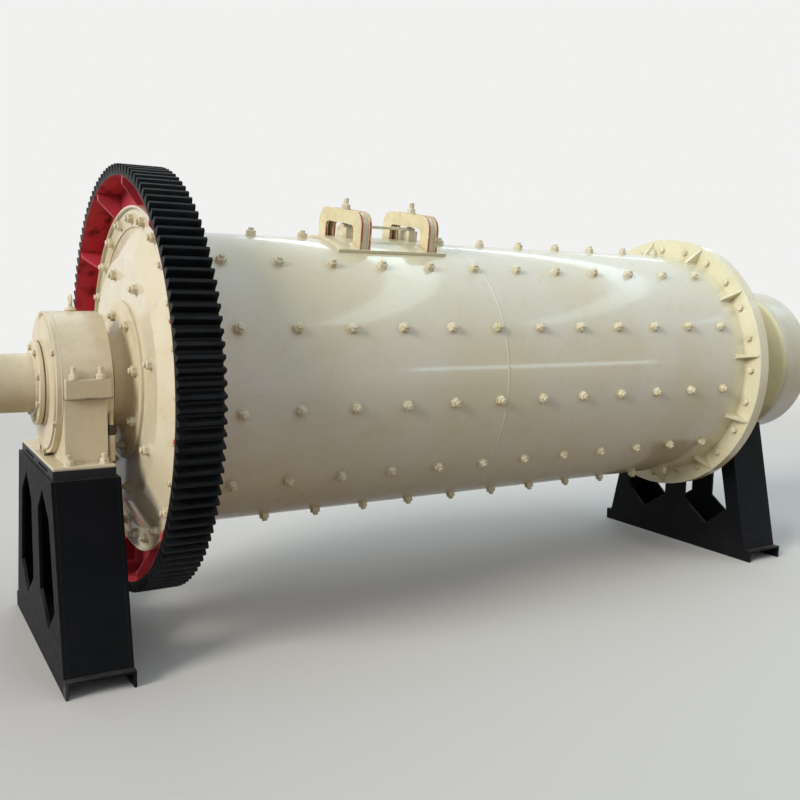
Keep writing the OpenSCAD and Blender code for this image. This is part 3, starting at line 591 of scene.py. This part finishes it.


# What coat() makes of each finish. A paint is a hex code or the name of a colour in MillPaint. Sizes are in metres:
# second is (tone, patch size); the grime and painted shade in corners is (tone, speck size, strength, reach into
# corners); the wear and painted highlight on edges is (tone, strength, edge).
COATS = {
    # Alkyd gloss enamel, sprayed on rolled plate: long plate waves bend its highlights, and it stays clean.
    "gloss_enamel_on_plate": dict(
        paint="cream", second=("#D4CBAD", 0.55), grime_and_shade=("#95865F", 0.09, 0.45, 0.05), wear_and_highlight=("#F3EED6", 0.5, 0.006),
        sheen=(0.30, 0.7, 0.5), waves=(0.45, 0.004), grain=(0.015, 0.0001), masks=(darker_rings_round_bolts, brushed_ends),
    ),
    # The gloss enamel on the dished discharge drum, a little greyer, without the marks of liner bolts, and with painted
    # light on the face that looks at the mill.
    "gloss_enamel_on_dished_plate": dict(
        paint="#D7D5C7", second=("#CCC6A6", 0.30), grime_and_shade=("#8A7C58", 0.08, 0.5, 0.06), wear_and_highlight=("#EFEAD4", 0.4, 0.006),
        sheen=(0.30, 0.7, 0.5), waves=(0.30, 0.0025), grain=(0.015, 0.0001), masks=(painted_light_on_drum_back,),
    ),
    # The same enamel on burned plate and heads, darker and yellower in its corners: painted shade with grime.
    "brushed_enamel_on_plate": dict(
        paint="#E6DFC6", second=("#DDD4B1", 0.22), grime_and_shade=("#8F7D4C", 0.05, 0.7, 0.06), wear_and_highlight=("#F6F0D2", 0.6, 0.006),
        sheen=(0.34, 0.6, 0.5), waves=(0.12, 0.001), grain=(0.012, 0.0002),
    ),
    # Alkyd enamel, brushed on cast iron: the sand-cast skin shows through as a fine pebble and dulls the gloss.
    "enamel_on_cast_iron": dict(
        paint="casting", second=("#D5CBAC", 0.16), grime_and_shade=("#84734C", 0.035, 0.6, 0.04), wear_and_highlight=("#F6F1DC", 0.8, 0.006),
        sheen=(0.46, 0.25, 0.5), waves=(0.07, 0.0012), grain=(0.009, 0.0005),
    ),
    # The enamel on the two halves of a bearing housing, with oily dirt in the line where they meet, and its edges
    # lightened almost to white as wear and as a painted highlight.
    "enamel_on_split_housing": dict(
        paint="casting", second=("#D5CBAC", 0.16), grime_and_shade=("#8A7850", 0.035, 0.5, 0.03), wear_and_highlight=("#FBF7E6", 0.95, 0.006),
        sheen=(0.44, 0.3, 0.5), waves=(0.07, 0.0012), grain=(0.009, 0.0005), masks=(seam,),
    ),
    # Enamel sprayed over zinc-plated steel nuts, lighter on the corners as wear and as a painted highlight, with
    # painted shade in their hollows and specks of shop dirt.
    "enamel_on_fasteners": dict(
        paint="fastener", second=("#CDC29B", 0.05), grime_and_shade=("#6C5D3C", 0.02, 0.7, 0.018), wear_and_highlight=("#F6F2E0", 0.7, 0.003),
        sheen=(0.36, 0.3, 0.5), waves=(0.03, 0.0004), grain=(0.006, 0.0002),
    ),
    # Enamelled plate whose flame-cut edges keep their red oxide primer.
    "enamel_with_primed_edges": dict(
        paint="#E6DCB4", second=("#D9CEA3", 0.1), grime_and_shade=("#7C6546", 0.03, 0.9, 0.03), wear_and_highlight=("#F3ECD2", 0.15, 0.002),
        sheen=(0.42, 0.3, 0.5), waves=(0.06, 0.0008), grain=(0.008, 0.0002), masks=(primed_edges,),
    ),
    # Black lacquer on hobbed cast steel teeth, grey on the tooth edges as wear and as a painted highlight, with the
    # primer red inside its rim.
    "black_lacquer_on_teeth": dict(
        paint="gear", second=("#171A1D", 0.12), grime_and_shade=("#2B2823", 0.03, 0.5, 0.02), wear_and_highlight=("#30353B", 0.35, 0.003),
        sheen=(0.46, 0.0, 0.14), waves=(0.08, 0.0006), grain=(0.007, 0.0003), masks=(red_bore,),
    ),
    # Red oxide primer with a satin top coat, brushed on rough steel: streaky, with painted shade in the corners, and
    # its red painted lighter and paler as fill light and a sky reflection.
    "red_primer_on_steel": dict(
        paint="red", second=("#A83040", 0.25), grime_and_shade=("#4A161C", 0.05, 0.5, 0.06), wear_and_highlight=("#D8505F", 0.3, 0.004),
        sheen=(0.40, 0.25, 0.5), waves=(0.09, 0.0010), grain=(0.010, 0.0004),
    ),
    # Black chassis paint, brushed on hot-rolled plate: low gloss, with floor dust on its ledges and lower edge.
    "black_chassis_paint": dict(
        paint="black", second=("#0B0E14", 0.2), grime_and_shade=("#1C1D1F", 0.04, 0.3, 0.04), wear_and_highlight=("#30353C", 0.4, 0.004),
        sheen=(0.55, 0.0, 0.10), waves=(0.25, 0.0020), grain=(0.010, 0.0003), masks=(settled_dust, lighter_corner_patch),
    ),
    # Blue-black paint on planed cast plate, grey along its edges as wear from lifting tackle and as a painted
    # highlight.
    "blue_black_on_planed_plate": dict(
        paint="#131519", second=("#1D2127", 0.08), grime_and_shade=("#3B3833", 0.03, 0.5, 0.03), wear_and_highlight=("#5E656E", 0.55, 0.004),
        sheen=(0.5, 0.0, 0.25), waves=(0.1, 0.0008), grain=(0.008, 0.0002), masks=(settled_dust,),
    ),
    # Grey-brown wool felt soaked with oil: matt, with a fine fibre in the bump, so the gap it fills isn't black.
    "oiled_wool_felt": dict(
        paint="#A89B7A", second=("#8E8263", 0.03), grime_and_shade=("#6C6044", 0.01, 0.3, 0.01), wear_and_highlight=("#9A8B6C", 0.2, 0.001),
        sheen=(0.85, 0.0, 0.3), waves=(0.02, 0.0005), grain=(0.001, 0.0003),
    ),
}


def finish(name):
    """The finish of that name, made once and then shared."""
    made = bpy.data.materials.get(name)
    if made:
        return made
    return coat(name, **COATS[name]) if name in COATS else tarnished_steel()


# The nodes of the frame that wear each finish; near_ and far_ are left off where both ends have the node.
WEARERS = {
    "black_chassis_paint": ("base_channel", "pedestal_faces", "pedestal_sides"),
    "blue_black_on_planed_plate": ("sole_plate",),
    "enamel_on_split_housing": ("bearing_base", "bearing_cap"),
    "enamel_on_cast_iron": ("inner_cover", "outer_cover", "trunnion", "feed_tube", "discharge_tube"),
    "brushed_enamel_on_plate": ("head", "shell_gussets", "manhole_frame", "manhole_cover", "manhole_bow_strips"),
    "gloss_enamel_on_plate": ("shell",),
    "gloss_enamel_on_dished_plate": ("discharge_drum",),
    "black_lacquer_on_teeth": ("gear_rim",),
    "red_primer_on_steel": ("gear_web", "gear_ribs"),
    "enamel_with_primed_edges": ("manhole_bow_plates",),
    "enamel_on_fasteners": ("manhole_clamp_blocks", "manhole_tie_bar"),
}
NODE_FINISH = {node: name for name, nodes in WEARERS.items() for node in nodes}


class MILL_OT_paint(bpy.types.Operator):
    """Gives every node of the frame its paint"""

    bl_idname = "mill.paint"
    bl_label = "Paint the frame"

    def execute(self, context):
        for name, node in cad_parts.items():
            plain = name.removeprefix("near_").removeprefix("far_")
            node.data.materials.clear()
            node.data.materials.append(finish(NODE_FINISH[plain]))
        return {"FINISHED"}


class MILL_OT_liner_bolts(bpy.types.Operator):
    """Sets the rings of liner bolts on the shell, leaving out those under the manhole"""

    bl_idname = "mill.liner_bolts"
    bl_label = "Liner bolts"

    def execute(self, context):
        liner, manhole = context.scene.mill_liner, context.scene.mill_manhole
        station = NEAR_SEAT + liner.first + liner.pitch * np.arange(liner.rings)
        turn = liner.top_row + circle(liner.rows)
        station, turn = (v.reshape(-1) for v in np.meshgrid(station, turn))
        frame_low, frame_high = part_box("manhole_frame")
        under = (station > frame_low.x) & (station < frame_high.x) & np.isclose(turn, manhole.angle)
        station, turn = station[~under], turn[~under]
        # The washers stand half a millimetre in the curved plate, so none of them shows a gap under its rim.
        origins, out = round_drum(station, liner.shell_radius - 0.5 * MM, turn)
        spins = np.random.default_rng(SEEDS["liner_bolts"]).uniform(0, 2 * np.pi, len(turn))
        shape = repeated(nut_on_stud(liner.across, liner.stud, liner.washer), places(origins, out, AHEAD, spins))
        show("liner_bolts", shape, DRUM)
        return {"FINISHED"}


class MILL_OT_flange_bolts(bpy.types.Operator):
    """Bolts both shell flanges to the heads"""

    bl_idname = "mill.flange_bolts"
    bl_label = "Flange bolts"

    def execute(self, context):
        flange = context.scene.mill_flange
        draw = np.random.default_rng(SEEDS["flange_bolts"])
        nut = nut_on_stud(flange.across, flange.stud, washer=flange.across * 1.25)
        head = bolt_head(flange.head, flange.stud, washer=flange.head * 1.2)
        # The near bolts also pass the gear's web, which is as thick as the flange.
        near = (flange.near_circle, flange.near_phase, 2 * flange.plate)
        far = (flange.far_circle, flange.far_phase, flange.plate)
        for (end, seat, side), (radius, phase, deep) in zip(ENDS, (near, far)):
            turn = phase + circle(flange.count)
            front, back = seat + side * flange.bolting_ring, seat - side * deep
            nuts = ring_on_face(nut, front, side, radius, turn, draw.uniform(0, 2 * np.pi, len(turn)))
            heads = ring_on_face(head, back, -side, radius, turn, draw.uniform(0, 2 * np.pi, len(turn)))
            show(f"{end}_flange_bolts", joined(nuts, heads), DRUM)
        return {"FINISHED"}


class MILL_OT_head_bolts(bpy.types.Operator):
    """Sets the two rings of nuts on each head"""

    bl_idname = "mill.head_bolts"
    bl_label = "Head bolts"

    def execute(self, context):
        head = context.scene.mill_head
        turn = head.phase + circle(head.count)
        draw = np.random.default_rng(SEEDS["head_bolts"])
        nut = nut_on_stud(head.across, head.stud, washer=head.across * 1.4)
        for end, seat, side in ENDS:
            rings = []
            for radius, height in ((head.outer_circle, 0.0), (head.inner_circle, head.foot)):
                station, spins = seat + side * (HEAD_DEPTH + height), draw.uniform(0, 2 * np.pi, len(turn))
                rings.append(ring_on_face(nut, station, side, radius, turn, spins))
            show(f"{end}_head_bolts", joined(*rings), DRUM)
        return {"FINISHED"}


class MILL_OT_bearing_bolts(bpy.types.Operator):
    """Sets the studs, foot bolts and cover screws of both bearings"""

    bl_idname = "mill.bearing_bolts"
    bl_label = "Bearing bolts"

    def execute(self, context):
        size = context.scene.mill_bearing
        draw = np.random.default_rng(SEEDS["bearing_bolts"])
        sixths, eighths = math.radians(30) + circle(6), math.radians(15) + circle(8)
        cap_nut = nut_on_stud(size.cap_stud * 1.5, size.cap_stud, washer=size.cap_stud * 1.7, stand=1.3)
        foot_nut = nut_on_stud(size.foot_bolt * 1.5, size.foot_bolt, washer=size.foot_bolt * 1.9, stand=0.9)
        screw = bolt_head(size.screw_across, size.screw, size.screw_washer)
        foot_top = SOLE_TOP + size.foot_plate
        # The four corners of a rectangle, as signs of its half length and half width.
        long, wide = np.array([(a, b) for a in (-1, 1) for b in (-1, 1)], float).T
        for end, seat, side in ENDS:
            middle = seat + side * size.cap_middle
            spots = stacked(middle + long * size.cap_spread, wide * size.cap_side, PARTING_Z + size.lug)
            caps = repeated(cap_nut, places(spots, UP, AHEAD, draw.uniform(0, np.pi, 4)))
            middle = seat + side * size.foot_middle
            spots = stacked(middle + long * size.foot_spread, wide * size.foot_side, foot_top)
            fifth = (seat + side * size.plug_station, size.end_nut_side, foot_top)
            feet = repeated(foot_nut, places([*spots, fifth], UP, AHEAD, draw.uniform(0, np.pi, 5)))
            station, radius = seat + side * size.cover_station, size.cover_circle
            cover = ring_on_face(screw, station, side, radius, sixths, draw.uniform(0, np.pi, 6))
            show(f"{end}_bearing_bolts", joined(caps, feet, cover), BASE)
            station, radius = seat + side * size.ring_station, size.ring_circle
            ring = ring_on_face(screw, station, side, radius, eighths, draw.uniform(0, np.pi, 8))
            show(f"{end}_end_ring_bolts", ring, DRUM)
        return {"FINISHED"}


class MILL_OT_lifting_eyes(bpy.types.Operator):
    """Screws a lifting eye into the top of each bearing cap"""

    bl_idname = "mill.lifting_eyes"
    bl_label = "Lifting eyes"

    def execute(self, context):
        size = context.scene.mill_bearing
        radius, steps = size.eye, 32
        wire, middle, turn = np.full((steps, 1), 0.38 * radius), 2.6 * radius, circle(steps)
        # The ring: a circle of tube whose plane holds the y and z axes, with its faces turned outward.
        out = stacked(0.0, np.cos(turn), np.sin(turn))
        points, corners, sizes = grid_tube(radius * out, AHEAD, out, wire, wire, sides=12, closed=True)
        corners = corners.reshape(-1, 4)[:, ::-1].reshape(-1)
        # The necked collar that it stands on: radius as a share of the ring's, and height as a share of the neck's.
        collar = [(1.35, 0.0), (1.35, 0.3), (1.2, 0.45), (0.8, 0.6), (0.55, 0.8), (0.5, 1.0)]
        collar = turned([(share * radius, rise * (middle - radius)) for share, rise in collar], 24)
        for end, seat, side in ENDS:
            station = seat + side * size.eye_station
            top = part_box(f"{end}_bearing_cap")[1].z
            ring = points + (station, 0.0, top + middle), corners, sizes
            foot = repeated(collar, places((station, 0.0, top - MM), UP, AHEAD))
            show(f"{end}_lifting_eye", joined(ring, foot), BASE, "enamel_on_cast_iron", smooth=True)
        return {"FINISHED"}


class MILL_OT_joint_fillings(bpy.types.Operator):
    """Fills the joint between each outer cover and its housing with paint, and sets a felt ring beside the end ring"""

    bl_idname = "mill.joint_fillings"
    bl_label = "Joint fillings"

    def execute(self, context):
        size = context.scene.mill_bearing
        # Of the paint bead and of the felt: steps round the drum, depth, half width and length of a ripple in metres.
        bead, felt = (256, 0.005, 0.0022, 0.150), (256, 0.010, 0.0026, 0.090)
        for end, seat, side in ENDS:
            ring = round_bead(seat + side * size.joint_station, size.joint_circle, *bead)
            show(f"{end}_joint_paint", ring, BASE, "enamel_on_split_housing", smooth=True)
            ring = round_bead(seat + side * size.felt_station, size.felt_circle, *felt)
            show(f"{end}_felt_ring", ring, BASE, "oiled_wool_felt", smooth=True)
        return {"FINISHED"}


class MILL_OT_drain_fittings(bpy.types.Operator):
    """Screws a drain pipe with a bare hexagon union under each bearing, and a plug into its foot"""

    bl_idname = "mill.drain_fittings"
    bl_label = "Drain fittings"

    def execute(self, context):
        size = context.scene.mill_bearing
        foot_top = SOLE_TOP + size.foot_plate
        low = foot_top + size.drain_pipe
        high = low + size.drain_union
        # The nipple ends 2 mm inside the barrel: its height is the barrel's lower half circle at that side.
        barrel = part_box("near_bearing_cap")[1].z - AXIS_Z
        under = AXIS_Z - math.sqrt(barrel**2 - size.drain_side**2) + 2 * MM
        pipe = turned([(size.drain_radius, foot_top - MM), (size.drain_radius, low)], 20)
        nipple = turned([(size.nipple_radius, high), (size.nipple_radius, under)], 16)
        wide, bevel = corner_radius(size.union_across), size.union_bevel
        union = turned([(wide - bevel, low), (wide, low + bevel), (wide, high - bevel), (wide - bevel, high)], 6)
        outer, rim = size.plug_radius, 2 * MM
        plug = turned([(outer, foot_top - MM), (outer, foot_top + 3 * rim), (outer - rim, foot_top + 4 * rim)], 16)
        for end, seat, side in ENDS:
            drain = places((seat + side * size.drain_station, -size.drain_side, 0.0), UP, AHEAD)
            foot = places((seat + side * size.plug_station, -size.plug_side, 0.0), UP, AHEAD)
            pipes = repeated(joined(pipe, nipple), drain)
            show(f"{end}_drain_pipe", pipes, BASE)
            bare = joined(repeated(union, drain), repeated(plug, foot))
            show(f"{end}_drain_union", bare, BASE, "tarnished_steel")
        return {"FINISHED"}


class MILL_OT_manhole_studs(bpy.types.Operator):
    """Sets a stud with its nut through each manhole bow, down to the clamp block"""

    bl_idname = "mill.manhole_studs"
    bl_label = "Manhole studs"

    def execute(self, context):
        size = context.scene.mill_manhole
        centre = NEAR_SEAT + size.centre
        stations = centre + np.array([-1.0, 1.0]) * size.bow_shift
        origins, out = round_drum(stations, size.bow_top, np.full(2, size.angle))
        nut = nut_on_stud(1.5 * size.stud, size.stud, washer=1.9 * size.stud, stand=1.1)
        shank = turned([(size.stud / 2, -size.shank), (size.stud / 2, MM)], 12)
        show("manhole_studs", repeated(joined(nut, shank), places(origins, out, AHEAD, turns=(0.3, 0.9))), DRUM)
        return {"FINISHED"}


class MILL_OT_welds(bpy.types.Operator):
    """Lays the weld beads on the shell, round the flanges and gussets and along the sole plates"""

    bl_idname = "mill.welds"
    bl_label = "Welds"

    def execute(self, context):
        size = context.scene.mill_welds
        radius, plate = context.scene.mill_liner.shell_radius, context.scene.mill_flange.plate
        ripple, steps = 0.020, 780
        # The plate seam is dressed flat: its bead is sunk, so only a low cap of it stands over the plate.
        station, sunk, seam_deep, seam_half = -0.170, MM, 3.0 * MM, 8.0 * MM
        ring = round_bead(station, radius - sunk, steps, seam_deep, seam_half, ripple)
        show("shell_seam", ring, DRUM, "gloss_enamel_on_plate", smooth=True)
        roots = ((NEAR_SEAT + 2 * plate, 1.0), (FAR_SEAT - plate, -1.0))
        root_deep, root_half = 8.0 * MM, 5.0 * MM
        beads = [round_bead(root, radius, steps, root_deep, root_half, ripple) for root, _ in roots]
        # A gusset's fillets: two short beads along its foot, repeated round both flanges.
        fillet_wide, fillet_tall = 12.0 * MM, 6.0 * MM
        run = np.linspace(0.0, size.gusset_length, 16)
        spread = context.scene.mill_manhole.angle + np.pi / size.gussets + circle(size.gussets)
        for shift in (-0.5, 0.5):
            foot = stacked(run, shift * size.gusset_plate, 0.0)
            fillet = weld(foot, LEVEL, UP, fillet_wide, fillet_tall, ripple, closed=False)
            for root, inward in roots:
                origins, out = round_drum(root, radius, spread)
                beads.append(repeated(fillet, places(origins, out, inward * AHEAD)))
        show("flange_welds", joined(*beads), DRUM, "enamel_on_cast_iron", smooth=True)
        # The beads that close the gap between each sole plate's ends and its pedestal's side plates.
        # They overlap the plates by 2 mm a side and lie 2 mm under the sole plate's lower face.
        over, tall = 2.0 * MM, 5.0 * MM
        for end, _, _ in ENDS:
            low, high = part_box(f"{end}_sole_plate")
            run, shut = np.linspace(low.x, high.x, 60), []
            for side in (-1.0, 1.0):
                path = stacked(run, side * (high.y + size.sole_gap / 2), low.z - over)
                shut.append(weld(path, LEVEL, UP, size.sole_gap + 2 * over, tall, ripple, closed=False))
            show(f"{end}_sole_welds", joined(*shut), BASE, "black_chassis_paint", smooth=True)
        return {"FINISHED"}


class MILL_OT_stage(bpy.types.Operator):
    """Lays the pale floor, hangs the soft lights and sets the camera"""

    bl_idname = "mill.stage"
    bl_label = "Studio stage"

    def execute(self, context):
        self.floor()
        self.lights(context)
        self.camera(context)
        return {"FINISHED"}

    def floor(self):
        """A round floor that fades into the pale backdrop: its rings lie at growing radii, and it thins outwards."""
        rings, sides = np.linspace(0.05, 16.0, 24), 96
        points, corners, sizes = turned([(radius, 0.0) for radius in rings], sides)
        # The face on the outermost ring goes, and the others are turned over to look up.
        shape = points, corners[:-sides][::-1], sizes[:-1][::-1]
        made = bpy.data.materials.new("pale_studio_vinyl")
        tree = bare_tree(made)
        spot = add(tree, "TexCoord").outputs["Object"]
        away = add(tree, "VectorMath", {0: spot}, operation="LENGTH")
        fade = add(tree, "MapRange", {0: away.outputs["Value"], 1: 5.0, 2: 14.0}, interpolation_type="SMOOTHSTEP")
        hidden, shown = rgba(linear("#8C7454")), rgba(linear("#DEDCD8"))
        shade = add(tree, "Mix", {0: seen(tree), 6: hidden, 7: shown}, data_type="RGBA").outputs[2]
        surface = add(tree, "BsdfPrincipled", {"Base Color": shade, "Roughness": 0.7, "Specular IOR Level": 0.2})
        clear = add(tree, "BsdfTransparent")
        mixed = add(tree, "MixShader", {0: fade, 1: surface, 2: clear})
        add(tree, "OutputMaterial", {"Surface": mixed})
        placed("studio_floor", shape, made)

    def lights(self, context):
        """A warm soft key from the feed end, four roof lights across the mill and a low band in front, whose
        reflections are the long highlights on the enamel, and a pale sky."""
        sun = bpy.data.lights.new("key_light", "SUN")
        sun.energy, sun.angle = 2.3, math.radians(25)
        sun.color = linear("#FFF9F0")
        linked("key_light", sun, facing((-6.0, -2.5, 4.5), (0.87, 0.20, -0.43), LEVEL))
        roof = [
            (f"roof_light_{i + 1}", facing((-1.12 + 2.4 * i, 0.8, 4.5), -UP, LEVEL), (9.0, 0.5), power)
            for i, power in enumerate((28.0, 48.0, 35.0, 24.0))
        ]
        band = ("front_band", facing((6.8, -9.0, 2.1), (-0.5, 1.0, -0.1), AHEAD), (3.9, 0.45), 31.0)
        for name, place, size, power in (*roof, band):
            area = bpy.data.lights.new(name, "AREA")
            area.shape, area.size, area.size_y, area.energy = "RECTANGLE", *size, power
            area.color = linear("#DAF4FA")
            linked(name, area, place).visible_camera = False
        world = bpy.data.worlds.new("pale_sky")
        tree = bare_tree(world)
        backdrop = add(tree, "Background", {"Color": rgba(linear("#F1F1F0")), "Strength": 1.0})
        sky = add(tree, "Background", {"Color": rgba(linear("#F0F4FC")), "Strength": 0.42})
        mixed = add(tree, "MixShader", {0: seen(tree), 1: sky, 2: backdrop})
        add(tree, "OutputWorld", {"Surface": mixed})
        context.scene.world = world

    def camera(self, context):
        """A camera that looks along yaw, pitch and roll: forward = (sin yaw cos pitch, cos yaw cos pitch, -sin pitch),
        right is level, and both right and up then turn by the roll."""
        yaw, pitch, roll = np.radians([30.86, 7.00, 1.23])
        forward = np.array([np.sin(yaw) * np.cos(pitch), np.cos(yaw) * np.cos(pitch), -np.sin(pitch)])
        right = np.array([np.cos(yaw), -np.sin(yaw), 0.0])
        up = np.cross(right, forward)
        made = np.eye(4)
        made[:3, 0] = np.cos(roll) * right + np.sin(roll) * up
        made[:3, 1] = np.cos(roll) * up - np.sin(roll) * right
        made[:3, 2] = -forward
        made[:3, 3] = (-2.6158, -3.7743, 1.4717)
        lens = bpy.data.cameras.new("photo_camera")
        lens.sensor_width, lens.lens = 36.0, 40.97
        lens.clip_start, lens.clip_end = 0.05, 200.0
        context.scene.camera = linked("photo_camera", lens, Matrix(made.tolist()))
        context.scene.view_settings.view_transform = "Standard"


def facing(where, direction, along):
    """The place of a lamp that shines along a direction: its z axis is minus that direction, and its x axis is the
    part of along that lies across it."""
    back = -np.asarray(direction, float) / np.linalg.norm(direction)
    level = np.asarray(along, float) - np.dot(along, back) * back
    level = level / np.linalg.norm(level)
    made = np.eye(4)
    made[:3, 0], made[:3, 1], made[:3, 2], made[:3, 3] = level, np.cross(back, level), back, where
    return Matrix(made.tolist())


OPERATORS = (
    MILL_OT_paint,
    MILL_OT_liner_bolts,
    MILL_OT_flange_bolts,
    MILL_OT_head_bolts,
    MILL_OT_bearing_bolts,
    MILL_OT_lifting_eyes,
    MILL_OT_joint_fillings,
    MILL_OT_drain_fittings,
    MILL_OT_manhole_studs,
    MILL_OT_welds,
    MILL_OT_stage,
)

GROUPS = {
    "mill_liner": MillLinerSizes,
    "mill_flange": MillFlangeSizes,
    "mill_head": MillHeadSizes,
    "mill_bearing": MillBearingSizes,
    "mill_manhole": MillManholeSizes,
    "mill_welds": MillWeldSizes,
    "mill_paint": MillPaint,
}


class MILL_PT_panel(bpy.types.Panel):
    """Lists the mill's operators and the sizes and colours that they use"""

    bl_label = "Ball mill"
    bl_idname = "MILL_PT_panel"
    bl_space_type = "VIEW_3D"
    bl_region_type = "UI"
    bl_category = "Ball mill"

    def draw(self, context):
        for operator in OPERATORS:
            self.layout.operator(operator.bl_idname)
        for name in GROUPS:
            group = getattr(context.scene, name)
            box = self.layout.box()
            for key in group.bl_rna.properties.keys():
                if key not in ("rna_type", "name"):
                    box.prop(group, key)


CLASSES = (*GROUPS.values(), *OPERATORS, MILL_PT_panel)


def register():
    """Registers every class, and hangs the groups of sizes and colours on the scene."""
    for kind in CLASSES:
        bpy.utils.register_class(kind)
    for name, group in GROUPS.items():
        setattr(bpy.types.Scene, name, PointerProperty(type=group))


def unregister():
    """Takes back what register() did."""
    for name in GROUPS:
        delattr(bpy.types.Scene, name)
    for kind in reversed(CLASSES):
        bpy.utils.unregister_class(kind)


def main():
    """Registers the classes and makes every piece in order."""
    register()
    for operator in OPERATORS:
        family, call = operator.bl_idname.split(".")
        getattr(getattr(bpy.ops, family), call)()


if __name__ == "__main__":
    main()
